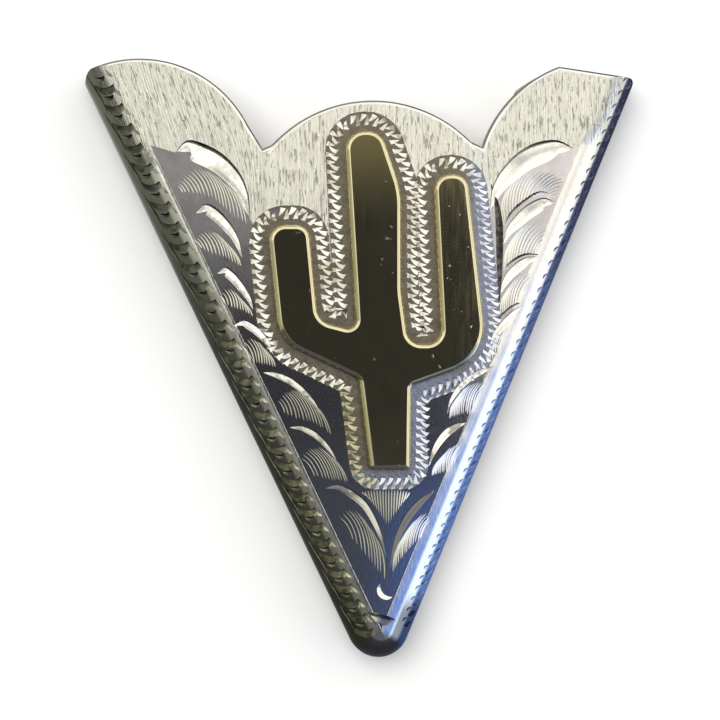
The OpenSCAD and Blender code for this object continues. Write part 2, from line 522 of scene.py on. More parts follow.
def block(low, high):
    """A block between two corners, as a bmesh."""
    bm = bmesh.new()
    bmesh.ops.create_cube(bm, size=1.0)
    low, high = Vector(low), Vector(high)
    bmesh.ops.scale(bm, vec=high - low, verts=bm.verts)
    bmesh.ops.translate(bm, vec=(low + high) / 2, verts=bm.verts)
    return bm


def rounded_over(bm, edges, radius, flats):
    bmesh.ops.bevel(
        bm, geom=edges, offset=radius, offset_type="OFFSET", segments=flats, profile=0.5,
        affect="EDGES", clamp_overlap=False, material=-1,
    )


def edges_where(bm, test):
    return [e for e in bm.edges if all(test(v.co) for v in e.verts)]


def reach_of(edge, axis):
    """How far an edge goes along an axis."""
    return abs(edge.verts[0].co[axis] - edge.verts[1].co[axis])


def level_edges(bm):
    return [e for e in bm.edges if reach_of(e, 2) < 0.01]


def standing(points, low, high):
    """A prism on a flat outline."""
    bm = bmesh.new()
    face = bm.faces.new([bm.verts.new((p[0], p[1], low)) for p in points])
    raised = bmesh.ops.extrude_face_region(bm, geom=[face])["geom"]
    bmesh.ops.translate(
        bm, vec=(0, 0, high - low), verts=[v for v in raised if isinstance(v, bmesh.types.BMVert)]
    )
    bmesh.ops.recalc_face_normals(bm, faces=bm.faces)
    return bm


def turned(profile, steps):
    """A profile of (out, up) points from axis to axis, spun round Z."""
    bm = bmesh.new()
    line = [bm.verts.new((out, 0, up)) for out, up in profile]
    edges = [bm.edges.new(pair) for pair in zip(line, line[1:])]
    bmesh.ops.spin(
        bm, geom=line + edges, cent=(0, 0, 0), axis=(0, 0, 1), angle=math.tau, steps=steps,
        use_merge=True,
    )
    bmesh.ops.remove_doubles(bm, verts=bm.verts, dist=WELD)
    bmesh.ops.recalc_face_normals(bm, faces=bm.faces)
    return bm


# Outline maths for the overlay and its border

def rounded_outline(corners, flats):
    points = []
    for k, (x, y, radius) in enumerate(corners):
        at = Vector((x, y))
        back = (Vector(corners[k - 1][:2]) - at).normalized()
        ahead = (Vector(corners[(k + 1) % len(corners)][:2]) - at).normalized()
        if radius <= 0:
            points.append(at)
            continue
        half = back.angle(ahead) / 2
        centre = at + (back + ahead).normalized() * radius / math.sin(half)
        start = at + back * radius / math.tan(half) - centre
        end = at + ahead * radius / math.tan(half) - centre
        turn = start.angle_signed(end)
        for step in range(flats + 1):
            arm = Matrix.Rotation(-turn * step / flats, 2) @ start
            points.append(centre + arm)
    return points


def grown_corners(corners, distance):
    """The clockwise outline moved outwards, with its radii kept true."""
    grown = []
    for k, (x, y, radius) in enumerate(corners):
        at = Vector((x, y))
        a = (at - Vector(corners[k - 1][:2])).normalized()
        b = (Vector(corners[(k + 1) % len(corners)][:2]) - at).normalized()
        hollow = a.x * b.y - a.y * b.x > 0
        outwards = Vector((-a.y - b.y, a.x + b.x)) / (1 + a.dot(b))
        place = at + distance * outwards
        grown.append((place.x, place.y, radius - distance if hollow else radius + distance))
    return grown


def off_sketch(corners):
    """Corners on the overlay's sketch, moved to their place on the drawing."""
    return [(x + SKETCH_SHIFT[0], y + SKETCH_SHIFT[1], r) for x, y, r in corners]


# The folded sheet

def side_turn(angle):
    """Turns what is drawn along +Y from the foot onto a rolled side."""
    return Matrix.Translation((*FOOT, 0)) @ Matrix.Rotation(math.radians(-angle), 4, "Z")


def up_side(angle):
    """The way up a side from the foot; the left side's angle counts below zero."""
    turn = math.radians(angle)
    return Vector((math.sin(turn), math.cos(turn)))


def side_slab(inset, angle, flats, upper, roll):
    """Everything inside one rolled side, drawn in from its outer face."""
    bm = block((-SIDE_RUN, -SIDE_LEAD, inset), (-inset, SIDE_RUN, DEPTH - inset))
    outer = edges_where(bm, lambda p: p.x > -inset - 0.01)
    rounded_over(bm, [e for e in outer if reach_of(e, 1) > 1], ROLL_R - inset, flats)
    for face in bm.faces:
        face.normal_update()
        face.material_index = upper if face.normal.z > 0.9999 else roll
    if angle < 0:
        bmesh.ops.scale(bm, vec=(-1, 1, 1), verts=bm.verts)
        bmesh.ops.recalc_face_normals(bm, faces=bm.faces)
    bmesh.ops.transform(bm, matrix=side_turn(angle), verts=bm.verts)
    return bm


HALF_ANGLE = math.radians((RIGHT_ANGLE + LEFT_ANGLE) / 2)
LEAN = math.radians((LEFT_ANGLE - RIGHT_ANGLE) / 2)
MIDDLE_WAY = Vector((-math.sin(LEAN), math.cos(LEAN)))
MIDDLE_TURN = Matrix.Translation((*FOOT, 0)) @ Matrix.Rotation(LEAN, 4, "Z")
NOSE_AT = FOOT + MIDDLE_WAY * NOSE_R / math.sin(HALF_ANGLE)


def wedge(name, inset, flats, upper, roll):
    right = workpiece(name, side_slab(inset, RIGHT_ANGLE, flats, upper, roll))
    left = workpiece(name + "_left", side_slab(inset, -LEFT_ANGLE, flats, upper, roll))
    return worked(right, left, "INTERSECT")


def nose_waste():
    """The sharp foot, up to the two planes where the round nose takes over."""
    right, left = up_side(RIGHT_ANGLE), up_side(-LEFT_ANGLE)
    out_right, out_left = Vector((right.y, -right.x)), Vector((-left.y, left.x))
    reach = 6.0
    outline = [
        NOSE_AT, NOSE_AT + out_left * reach, FOOT - MIDDLE_WAY * reach, NOSE_AT + out_right * reach,
    ]
    return workpiece("nose_waste", standing(outline, -PAST, DEPTH + PAST), POLISHED)


def nose_button():
    """The nose: the side's own section, spun round the nose's middle."""
    section = []
    for step in range(ROLL_FLATS + 1):
        turn = math.radians(90) * step / ROLL_FLATS
        out = NOSE_R - ROLL_R + ROLL_R * math.sin(turn)
        section.append((out, ROLL_LOW + ROLL_R * math.cos(turn)))
    lower = [(out, DEPTH - z) for out, z in reversed(section)]
    axis_z = ROLL_LOW + math.sqrt(ROLL_R**2 - (ROLL_R - NOSE_R) ** 2)
    bm = turned([(0.0, axis_z)] + section + lower + [(0.0, DEPTH - axis_z)], NOSE_FLATS)
    bmesh.ops.translate(bm, vec=(*NOSE_AT, 0), verts=bm.verts)
    return workpiece("nose_button", bm, POLISHED)


def pocket():
    """The hollow for the collar, which stops short of the nose."""
    hollow = wedge("pocket", SHEET_T, POCKET_FLATS, INSIDE, INSIDE)
    keep = block((-SIDE_RUN, POCKET_FROM_FOOT, -PAST), (SIDE_RUN, 2 * SIDE_RUN, DEPTH + PAST))
    bmesh.ops.transform(keep, matrix=MIDDLE_TURN, verts=keep.verts)
    return worked(hollow, workpiece("pocket_end", keep, INSIDE), "INTERSECT")


def back_window():
    foot = FLANGE_EDGE / math.sin(HALF_ANGLE)
    wide = SIDE_RUN * math.tan(HALF_ANGLE)
    corners = [(0, foot, WINDOW_R), (-wide, foot + SIDE_RUN, 0), (wide, foot + SIDE_RUN, 0)]
    past_sheet = 0.6
    bm = standing(rounded_outline(corners, POCKET_FLATS), -PAST, SHEET_T + past_sheet)
    bmesh.ops.transform(bm, matrix=MIDDLE_TURN, verts=bm.verts)
    return workpiece("back_window", bm, POLISHED)


def lobe(centre, radius):
    """One scallop as a disc with its edges rounded over."""
    bm = bmesh.new()
    bmesh.ops.create_cone(
        bm, cap_ends=True, segments=LOBE_FLATS, radius1=radius, radius2=radius,
        depth=DEPTH + 2 * CLEAR,
    )
    rounded_over(bm, level_edges(bm), RIM_R, RIM_FLATS)
    bmesh.ops.translate(bm, vec=(*centre, DEPTH / 2), verts=bm.verts)
    return workpiece("lobe", bm, BRIGHT_CUT)


def notch_web(outline):
    bm = standing(outline, -CLEAR, DEPTH + CLEAR)
    rounded_over(bm, level_edges(bm), RIM_R, RIM_FLATS)
    return workpiece("notch_web", bm, BRIGHT_CUT)


def corner_waste(side_angle, reach, top_way, radius):
    """What is filed off an outer corner, where a side meets the top's outline."""
    up = up_side(side_angle)
    corner = FOOT + up * reach
    top_way = Vector(top_way).normalized()
    arm = 3.0
    below, along_top = corner - up * arm, corner + top_way * arm
    corners = [(*below, 0), (*corner, radius), (*along_top, 0)]
    arc = rounded_outline(corners, CORNER_FLATS)[1:-1]
    outside = corner + (up - top_way).normalized() * 2 * PAST
    outline = arc + [outside]
    return workpiece("corner_waste", standing(outline, -PAST, DEPTH + PAST), POLISHED)


def outer_corners():
    """The two corner wastes; each corner lies a way up its side from the foot."""
    way = up_side(-LEFT_ANGLE)
    from_lobe = FOOT - Vector(LEFT_LOBE[0])
    ahead = from_lobe.dot(way)
    reach = -ahead + math.sqrt(ahead**2 - from_lobe.length_squared + LEFT_LOBE[1] ** 2)
    spoke = from_lobe + way * reach
    yield corner_waste(-LEFT_ANGLE, reach, (spoke.y, -spoke.x), LEFT_CORNER_R)
    right = math.radians(RIGHT_ANGLE)
    fall = math.tan(math.radians(CUT_SLOPE))
    rise = CUT_FROM[1] - FOOT.y + fall * (CUT_FROM[0] - FOOT.x)
    reach = rise / (math.cos(right) + fall * math.sin(right))
    yield corner_waste(RIGHT_ANGLE, reach, (-1.0, fall), RIGHT_CORNER_R)


def top_outline():
    below_lobes = block((-SPAN, -SPAN, -CLEAR), (SPAN, LOBE_FLOOR, DEPTH + CLEAR))
    shape = workpiece("top_outline", below_lobes, POLISHED)
    for centre, radius in (LEFT_LOBE, MIDDLE_LOBE, RIGHT_LOBE):
        worked(shape, lobe(centre, radius), "UNION")
    for outline in NOTCH_WEBS:
        worked(shape, notch_web(outline), "UNION")
    under_cut = block((-2 * SPAN, -2 * SPAN, -CLEAR), (2 * SPAN, 0, DEPTH + CLEAR))
    upper = edges_where(under_cut, lambda p: p.y > -0.01)
    rounded_over(under_cut, [e for e in upper if reach_of(e, 0) > 1], RIM_R, RIM_FLATS)
    turn = Matrix.Translation((*CUT_FROM, 0)) @ Matrix.Rotation(math.radians(-CUT_SLOPE), 4, "Z")
    bmesh.ops.transform(under_cut, matrix=turn, verts=under_cut.verts)
    return shape, workpiece("under_cut", under_cut, BRIGHT_CUT)


def folded_shell():
    shell = wedge("engraved_shell", 0.0, ROLL_FLATS, BRUSHED, POLISHED)
    worked(shell, nose_waste(), "DIFFERENCE")
    worked(shell, nose_button(), "UNION")
    worked(shell, pocket(), "DIFFERENCE")
    worked(shell, back_window(), "DIFFERENCE")
    shape, under_cut = top_outline()
    worked(shell, shape, "INTERSECT")
    worked(shell, under_cut, "INTERSECT")
    for waste in outer_corners():
        worked(shell, waste, "DIFFERENCE")
    return shell


# Gravers: a stroke is a bar with the graver's section, bent onto the silver and then taken out of it

# Sections as (aside, up), in shares of a stroke's width and depth; the first side is the steep one
LEAF_GRAVER = [
    (0.04, 0.5), (-0.10, -1.0), (-0.34, -0.62), (-0.60, -0.32), (-0.88, -0.11), (-1.20, 0.05),
]
FLAT_GRAVER = [(0.05, 0.5), (-0.12, -1.0), (-1.1, 0.1)]
LINE_GRAVER = [(-1.4, 0.4), (0.0, -1.0), (1.4, 0.4)]


def swell(peak, thin=0.05, fullness=0.8):
    """How a stroke's size goes from its start to its end."""
    def size(t):
        share = t / peak if t < peak else (1 - t) / (1 - peak)
        return thin + (1 - thin) * math.sin(math.pi / 2 * min(max(share, 0), 1)) ** fullness
    return size


def bent_line(points):
    """A smooth line through points, as a function of its share from 0 to 1."""
    points = [Vector(p) for p in points]
    spans = len(points) - 1

    def at(t):
        k = min(int(t * spans), spans - 1)
        u = t * spans - k
        a, b = points[max(k - 1, 0)], points[k]
        c, d = points[k + 1], points[min(k + 2, spans)]
        return 0.5 * (
            2 * b + (c - a) * u + (2 * a - 5 * b + 4 * c - d) * u * u
            + (3 * b - 3 * c + d - a) * u**3
        )
    return at


def on_plate(point, up):
    return Vector((point[0], point[1], DEPTH + up))


def on_roll(angle):
    """Places (along the side, out from the bend line) on a rolled side."""
    turn = side_turn(angle)
    sign = 1 if angle > 0 else -1

    def place(point, up):
        along, out = point
        if out <= 0:
            local = Vector((sign * (out - ROLL_R), along, DEPTH + up))
        else:
            a = out / ROLL_R
            r = ROLL_R + up
            local = Vector((sign * (r * math.sin(a) - ROLL_R), along, ROLL_LOW + r * math.cos(a)))
        return turn @ local
    return place


def stroke(surface, line, width, depth, graver, size, finish, steps, hand=1, taper=1.0, wall=None):
    """One stroke as a mesh, with the two corners of the box round it."""
    bm = bmesh.new()
    face = bm.faces.new([bm.verts.new((0.0, aside, up)) for aside, up in graver])
    drawn = bmesh.ops.extrude_face_region(bm, geom=[face])["geom"]
    far = [v for v in drawn if isinstance(v, bmesh.types.BMVert)]
    bmesh.ops.translate(bm, vec=(1.0, 0, 0), verts=far)
    long_edges = [e for e in bm.edges if reach_of(e, 0) > 0.5]
    bmesh.ops.subdivide_edges(bm, edges=long_edges, cuts=steps - 1)
    for f in bm.faces:
        steep = wall is not None and all(v.co.y > -0.2 for v in f.verts)
        f.material_index = wall if steep else finish
    for v in bm.verts:
        t = min(max(v.co.x, 0.0), 1.0)
        ahead = line(min(t + 0.01, 1.0)) - line(max(t - 0.01, 0.0))
        aside = Vector((-ahead.y, ahead.x)).normalized() * hand
        k = size(t)
        v.co = surface(line(t) + aside * v.co.y * width * k, v.co.z * depth * k**taper)
    bmesh.ops.recalc_face_normals(bm, faces=bm.faces)
    if bm.calc_volume(signed=True) < 0:
        bmesh.ops.reverse_faces(bm, faces=bm.faces)
    mesh = bpy.data.meshes.new("stroke")
    bm.to_mesh(mesh)
    low = Vector([min(v.co[i] for v in bm.verts) for i in range(3)])
    high = Vector([max(v.co[i] for v in bm.verts) for i in range(3)])
    bm.free()
    return mesh, low, high


def apart(one, other, margin=0.01):
    return any(
        one[1][i] > other[2][i] + margin or other[1][i] > one[2][i] + margin for i in range(3)
    )


def engrave(target, strokes):
    """Takes the strokes out of target, in rounds whose strokes stay clear of each other."""
    rounds = []
    for cut in strokes:
        for done in rounds:
            if all(apart(cut, other) for other in done):
                done.append(cut)
                break
        else:
            rounds.append([cut])
    for done in rounds:
        tool = bmesh.new()
        for mesh, _, _ in done:
            tool.from_mesh(mesh)
            bpy.data.meshes.remove(mesh)
        worked(target, workpiece("strokes", tool), "DIFFERENCE")


# Leaves: the crescent's outer edge from its start to its tip, its width, the places where the
# lines under it start and end, how many lines there are, and which hand the leaf turns to
LEAVES = [
    ([(-13.0, 14.6), (-12.3, 15.4), (-11.2, 15.25), (-9.7, 14.45), (-8.5, 13.1), (-7.95, 11.6),
      (-7.85, 10.0)], 1.45,
     [(-12.9, 12.2), (-12.4, 12.95), (-11.4, 13.45), (-10.4, 13.1), (-9.3, 12.2)],
     [(-12.6, 11.75), (-11.5, 11.7), (-10.3, 11.25), (-9.2, 10.3), (-8.05, 9.6)], 18, 1),
    ([(-11.7, 10.3), (-11.0, 11.0), (-10.1, 10.65), (-9.2, 9.65), (-8.6, 8.5), (-8.35, 7.1)], 0.85,
     [(-11.7, 8.4), (-11.3, 8.9), (-10.6, 9.1), (-10.0, 8.8), (-9.3, 8.0)],
     [(-11.3, 7.95), (-10.5, 7.5), (-9.7, 7.3), (-9.0, 6.9), (-8.4, 6.6)], 13, 1),
    ([(-10.2, 6.1), (-9.6, 6.6), (-8.9, 6.2), (-8.2, 5.3), (-7.75, 4.4), (-7.6, 3.5)], 0.70,
     [(-9.95, 4.5), (-9.6, 5.0), (-9.1, 5.0), (-8.7, 4.6), (-8.3, 4.1)],
     [(-9.65, 4.1), (-9.1, 3.75), (-8.6, 3.6), (-8.1, 3.4), (-7.6, 3.1)], 10, 1),
    ([(-9.0, 2.5), (-8.3, 2.9), (-7.5, 2.6), (-6.8, 1.9), (-6.4, 1.2), (-6.15, 0.3)], 0.62,
     [(-8.6, 0.8), (-8.2, 1.45), (-7.6, 1.6), (-7.1, 1.2), (-6.7, 0.7)],
     [(-8.15, 0.15), (-7.5, -0.1), (-7.0, -0.2), (-6.5, -0.3), (-6.0, -0.4)], 11, 1),
    ([(-7.0, -0.75), (-6.0, -0.75), (-5.0, -1.1), (-4.0, -1.9), (-3.3, -2.8), (-2.7, -4.0)], 0.54,
     [(-5.9, -2.8), (-5.45, -2.2), (-5.0, -2.0), (-4.4, -2.1), (-3.6, -2.8)],
     [(-5.5, -3.55), (-4.6, -4.0), (-3.7, -4.2), (-2.9, -4.6), (-2.1, -5.2)], 14, 1),
    ([(-5.2, -4.6), (-4.2, -4.5), (-3.3, -4.85), (-2.6, -5.5), (-2.05, -6.3), (-1.65, -7.2)], 0.50,
     [(-4.3, -6.8), (-3.9, -6.2), (-3.4, -6.0), (-2.8, -6.1), (-2.2, -6.7)],
     [(-3.4, -8.0), (-2.6, -8.2), (-2.0, -8.3), (-1.5, -8.35), (-0.95, -8.4)], 12, 1),
    ([(-2.7, -8.9), (-1.7, -8.6), (-0.6, -9.05), (0.4, -9.9), (1.1, -11.2), (1.55, -12.6),
      (1.8, -14.2)], 0.58,
     [(-1.6, -11.0), (-1.15, -10.4), (-0.6, -10.35), (0.0, -10.9), (0.75, -12.0)],
     [(-0.7, -12.4), (0.0, -13.3), (0.6, -14.0), (1.1, -14.6), (1.65, -15.3)], 10, 1),
    ([(15.0, 15.0), (13.9, 15.6), (12.4, 15.45), (11.0, 14.7), (9.8, 13.4), (9.15, 12.0),
      (9.1, 10.7)], 1.55,
     [(13.9, 11.7), (14.2, 12.9), (12.9, 13.45), (11.4, 13.2), (10.3, 12.2)],
     [(13.3, 11.5), (12.4, 11.55), (11.5, 11.1), (10.7, 10.5), (10.0, 9.5)], 18, -1),
    ([(13.7, 11.2), (12.8, 11.55), (11.6, 11.0), (10.7, 10.1), (10.15, 9.2), (10.0, 8.2)], 1.0,
     [(12.8, 8.5), (13.0, 9.4), (12.2, 9.85), (11.4, 9.5), (10.7, 8.7)],
     [(12.3, 7.5), (11.6, 7.5), (10.9, 7.15), (10.4, 6.75), (10.05, 6.3)], 13, -1),
    ([(12.5, 7.4), (11.6, 7.35), (10.8, 6.9), (10.2, 6.2), (9.85, 5.4), (9.8, 4.7)], 0.75,
     [(12.2, 5.4), (12.1, 6.15), (11.4, 6.15), (10.8, 5.7), (10.3, 5.1)],
     [(11.6, 4.3), (11.0, 4.1), (10.5, 3.8), (10.1, 3.5), (9.8, 3.1)], 11, -1),
    ([(11.7, 3.95), (10.9, 3.75), (10.2, 3.2), (9.6, 2.5), (9.2, 1.8), (9.0, 0.9)], 0.70,
     [(11.0, 1.8), (10.8, 2.5), (10.2, 2.4), (9.7, 1.8), (9.4, 1.2)],
     [(10.4, 0.35), (9.9, 0.2), (9.5, 0.1), (9.1, 0.0), (8.85, 0.1)], 10, -1),
    ([(9.5, -0.3), (8.5, -0.5), (7.5, -1.0), (6.7, -1.8), (6.15, -2.8), (6.0, -3.9)], 0.50,
     [(8.7, -2.1), (8.45, -1.45), (7.8, -1.5), (7.2, -1.95), (6.7, -2.6)],
     [(8.1, -3.6), (7.6, -3.65), (7.0, -3.75), (6.55, -3.9), (6.2, -4.0)], 15, -1),
    ([(7.4, -4.3), (6.6, -4.35), (5.8, -4.8), (5.2, -5.6), (4.85, -6.5), (4.7, -7.5)], 0.62,
     [(7.3, -6.4), (7.05, -5.8), (6.4, -5.95), (5.9, -6.4), (5.5, -6.9)],
     [(6.8, -7.6), (6.3, -7.7), (5.8, -7.8), (5.3, -7.9), (4.9, -8.1)], 15, -1),
    ([(5.2, -9.0), (4.1, -9.6), (3.2, -10.5), (2.5, -11.8), (2.1, -13.2), (1.95, -14.7)], 0.62,
     [(4.9, -11.1), (4.6, -10.6), (4.0, -10.9), (3.4, -11.6), (2.9, -12.5)],
     [(4.2, -12.3), (3.6, -12.9), (3.1, -13.5), (2.6, -14.1), (2.2, -14.8)], 14, -1),
]


def leaf_strokes(edge, width, starts, ends, count, hand, chance):
    """One bright crescent, and the shallow lines under it that run beside it."""
    line = bent_line(edge)
    # The crescent's steep wall takes shaded_cut's painted shade
    strokes = [stroke(
        on_plate, line, width, width * 0.22, LEAF_GRAVER, swell(0.36, 0.06, 0.7), BRIGHT_CUT, 18, hand,
        taper=1.8, wall=SHADED_CUT,
    )]
    first, last = bent_line(starts), bent_line(ends)
    for k in range(count):
        share = (k + 0.5) / count
        a, b = first(share), last(share)
        along = b - a
        bow = Vector((-along.y, along.x)) * hand * 0.11
        early = chance.uniform(-0.03, 0.03)
        late = chance.uniform(-0.03, 0.04)
        a, b = a + along * early, b + along * late
        strokes.append(stroke(
            on_plate, bent_line([a, a.lerp(b, 0.33) + bow * 0.9, a.lerp(b, 0.67) + bow * 0.8, b]),
            chance.uniform(0.075, 0.09), chance.uniform(0.028, 0.036), LINE_GRAVER,
            swell(0.6, 0.35, 0.6), LINE_CUT, 9,
        ))
    return strokes


# Border of the overlay: two rows of short slanting cuts on a band round it

BAND_OFF = 0.92
BAND_HALF = 0.48
BAND_PITCH = 0.69


def border_line():
    """The band's middle, as a function of the length along it, and its whole length."""
    corners = rounded_outline(grown_corners(off_sketch(CACTUS_CORNERS), BAND_OFF), BAND_FLATS)
    steps = [(b - a).length for a, b in zip(corners, corners[1:] + corners[:1])]
    total = sum(steps)

    def at(s):
        s = s % total
        k = 0
        while s > steps[k]:
            s -= steps[k]
            k += 1
        a, b = corners[k], corners[(k + 1) % len(corners)]
        return a.lerp(b, s / max(steps[k], 1e-9))
    return at, total


def border_strokes(chance):
    """Teeth in two rows; they stand closer on the right arm's outer side and round the foot."""
    middle, total = border_line()

    def on_band(point, up):
        s, out = point
        ahead = (middle(s + 0.25) - middle(s - 0.25)).normalized()
        return on_plate(middle(s) + Vector((-ahead.y, ahead.x)) * out, up)

    strokes = []
    s = 0.0
    while s < total - 0.3:
        at = middle(s)
        close = at.x > 8.1 or at.y < -8.3 or (at.x > 3.9 and at.y < -0.8)
        ahead = middle(s + 0.25) - middle(s - 0.25)
        hand = 1 if ahead.y > 0.5 * ahead.x else -1
        pitch = BAND_PITCH * (0.82 if close else 1.0)
        for row in (1, -1):
            t = s + (0.0 if row > 0 else 0.5 * pitch) + chance.uniform(-0.02, 0.02)
            reach = BAND_HALF * chance.uniform(0.95, 1.03)
            line = bent_line([
                (t + 0.12 * row, row * reach), (t + 0.06 * row, row * reach * 0.55),
                (t - 0.02 * row, row * reach * 0.10), (t - 0.14 * row, -row * reach * 0.40),
            ])
            strokes.append(stroke(
                on_band, line, pitch * chance.uniform(0.58, 0.64), 0.15 * pitch, FLAT_GRAVER,
                swell(0.16, 0.30, 0.9), TOOTH_CUT, 5, hand=row * hand,
            ))
        s += pitch
    return strokes


# Rolled sides: a row of curled cuts, small ticks beside it and long shallow waves beyond it

LEFT_ROW = dict(
    angle=-LEFT_ANGLE, first=5.2, last=48.4, near=0.50, far=1.85, grow=(1.16, 1.50),
    size=1.0, deep=1.0,
)
RIGHT_ROW = dict(
    angle=RIGHT_ANGLE, first=5.6, last=47.0, near=1.50, far=2.35, grow=(0.80, 1.00),
    size=0.70, deep=0.42,
)


def side_strokes(row, chance):
    """Curled cuts across the roll with a hook and a dash each, and a long wave past every second."""
    surface = on_roll(row["angle"])
    near, far, size, deep = row["near"], row["far"], row["size"], row["deep"]
    hand = 1 if row["angle"] < 0 else -1
    strokes = []

    def cut(points, width, depth, graver, swelling, steps, turned_to=1):
        strokes.append(stroke(
            surface, bent_line(points), width * size, depth * deep, graver, swelling, DARKENED_CUT,
            steps, turned_to,
        ))

    low, high = row["grow"]
    s = row["first"]
    k = 0
    while s < row["last"]:
        grown = min(max((s - 12) / 18, 0), 1)
        wide = (low + (high - low) * grown) * chance.uniform(0.95, 1.05)
        bow = chance.uniform(0.10, 0.18) * size
        curl = [
            (s, near), (s - bow * 0.6, near + 0.28 * (far - near)),
            (s + bow, near + 0.66 * (far - near)), (s + bow + 0.42 * size, far),
        ]
        cut(curl, 0.52, 0.13, FLAT_GRAVER, swell(0.22, 0.30, 0.8), 9, -hand)
        hook = [
            (s + wide * 0.52, near + 0.30), (s + wide * 0.42, near + 0.62 * size),
            (s + wide * 0.62, near + 1.05 * size),
        ]
        cut(hook, 0.16, 0.08, LINE_GRAVER, swell(0.5, 0.1, 0.8), 5)
        dash = [
            (s + wide * 0.30, near - 0.24), (s + wide * 0.52, near - 0.16),
            (s + wide * 0.78, near + 0.02),
        ]
        cut(dash, 0.22, 0.06, FLAT_GRAVER, swell(0.5, 0.1, 0.8), 5, -hand)
        if k % 2 == 0:
            wave = [
                (s - 0.2, far + 0.04), (s + 0.9, far + 0.14), (s + 1.9, far + 0.36),
                (s + 3.0, far + 0.44),
            ]
            cut(wave, 0.26, 0.06, FLAT_GRAVER, swell(0.5, 0.05, 0.8), 8, hand)
        s += wide
        k += 1
    return strokes


def nose_strokes():
    """A short scoop above the nose, and the dent that parts the nose from the plate."""
    scoop = bent_line([(1.3, -15.55), (1.4, -16.0), (1.7, -16.35), (2.15, -16.5)])
    dent = bent_line([(0.35, -17.5), (1.0, -17.75), (1.8, -17.95), (2.9, -18.35)])
    lip = bent_line([(0.6, -17.75), (1.3, -17.95), (2.1, -18.15), (2.8, -18.5)])
    return [
        stroke(on_plate, scoop, 0.46, 0.09, FLAT_GRAVER, swell(0.5, 0.1, 0.7), BRIGHT_CUT, 9, 1),
        stroke(on_plate, lip, 0.50, 0.07, FLAT_GRAVER, swell(0.6, 0.1, 0.7), DARKENED_CUT, 9, 1),
        stroke(on_plate, dent, 0.15, 0.18, LINE_GRAVER, swell(0.35, 0.15, 0.6), DARKENED_CUT, 9),
    ]


# Field of plain polished ground round the leaves and the overlay

GROUND_DEEP = 0.012
SURROUND_DEEP = 0.016
# How far up each side the field goes
FIELD_LEFT = 42.3
FIELD_RIGHT = 41.6


def bend_point(angle, along):
    """A place a little inside a side's bend line."""
    return on_roll(angle)((along, -0.03), 0).xy


def leaf_field():
    """A thin layer off the plate, bounded by the bend lines and the two uppermost leaves."""
    left = bent_line(LEAVES[0][0])
    right = bent_line(LEAVES[7][0])
    outline = [bend_point(-LEFT_ANGLE, FIELD_LEFT)]
    outline += [left(k / 10) - Vector((0.05, 0.05)) for k in range(11)]
    outline += [Vector(p) for p in (
        (-7.2, 9.0), (-6.5, 3.0), (-3.0, 0.0), (1.5, -3.0), (6.0, 0.0), (8.3, 4.0), (8.6, 10.0)
    )]
    outline += [right(1 - k / 10) + Vector((0.05, -0.05)) for k in range(11)]
    foot = FOOT + MIDDLE_WAY * (ROLL_R / math.sin(HALF_ANGLE) + 0.1)
    outline += [bend_point(RIGHT_ANGLE, FIELD_RIGHT), foot]
    return workpiece("leaf_field", standing(outline, DEPTH - GROUND_DEEP, DEPTH + PAST), GROUND)


# The overlay's trunk, left arm and right arm apart, each closed by corners inside the others
CACTUS_LIMBS = [
    CACTUS_CORNERS[0:3] + [(2.60, 0.0, 1.0)] + CACTUS_CORNERS[10:12] + [(-0.55, 0.0, 1.0)],
    CACTUS_CORNERS[14:16] + [(-3.25, 1.5, 1.20), (0.5, 0.5, 0.5)] + CACTUS_CORNERS[12:14],
    CACTUS_CORNERS[6:10] + [(2.3, 0.6, 0.3), (5.30, 2.2, 1.0)],
]


def overlay_surround():
    """Ground under the border, which takes border_ground's painted dark reflection: each limb's outline
    grown, then joined.
    """
    grow = BAND_OFF + BAND_HALF - 0.02
    parts = []
    for limb in CACTUS_LIMBS:
        outline = rounded_outline(grown_corners(off_sketch(limb), grow), BAND_FLATS)
        ground = standing(outline, DEPTH - SURROUND_DEEP, DEPTH + PAST)
        parts.append(workpiece("surround", ground, BORDER))
    worked(parts[0], parts[1], "UNION")
    return worked(parts[0], parts[2], "UNION")


# Shaded cuts: points, half the width, and the depth
SHADED_LINES = [
    ([(9.12, 12.5), (9.52, 11.1), (9.70, 9.8), (9.74, 8.4), (9.74, 6.8), (9.73, 5.4),
      (9.66, 3.5)], 0.30, 0.10),
    ([(10.05, 9.6), (10.6, 10.55), (11.6, 11.4), (12.6, 11.95), (13.6, 11.7)], 0.13, 0.05),
    ([(10.0, 6.5), (10.7, 7.12), (11.6, 7.55), (12.6, 7.5)], 0.12, 0.05),
    ([(9.3, 2.6), (9.9, 3.3), (10.8, 4.0), (11.6, 4.15)], 0.09, 0.04),
]


def shaded_strokes():
    swelling = swell(0.42, 0.06, 0.8)
    return [
        stroke(on_plate, bent_line(points), half, deep, LINE_GRAVER, swelling, SHADED_CUT, 16)
        for points, half, deep in SHADED_LINES
    ]


def triangle_lines():
    """Upright lines in the gap between the two lowest leaves."""
    strokes = []
    count = 17
    for k in range(count):
        share = (k + 0.5) / count
        x = -0.1 + 3.6 * share
        top = -9.15 + 0.3 * math.sin(math.pi * share)
        low = -11.6 + 4.3 * abs(share - 0.53)
        inwards = 1.85 - x
        line = bent_line([(x, top), (x + inwards * 0.10, (top + low) / 2), (x + inwards * 0.22, low)])
        strokes.append(stroke(
            on_plate, line, 0.085, 0.033, LINE_GRAVER, swell(0.3, 0.3, 0.6), LINE_CUT, 5,
        ))
    return strokes


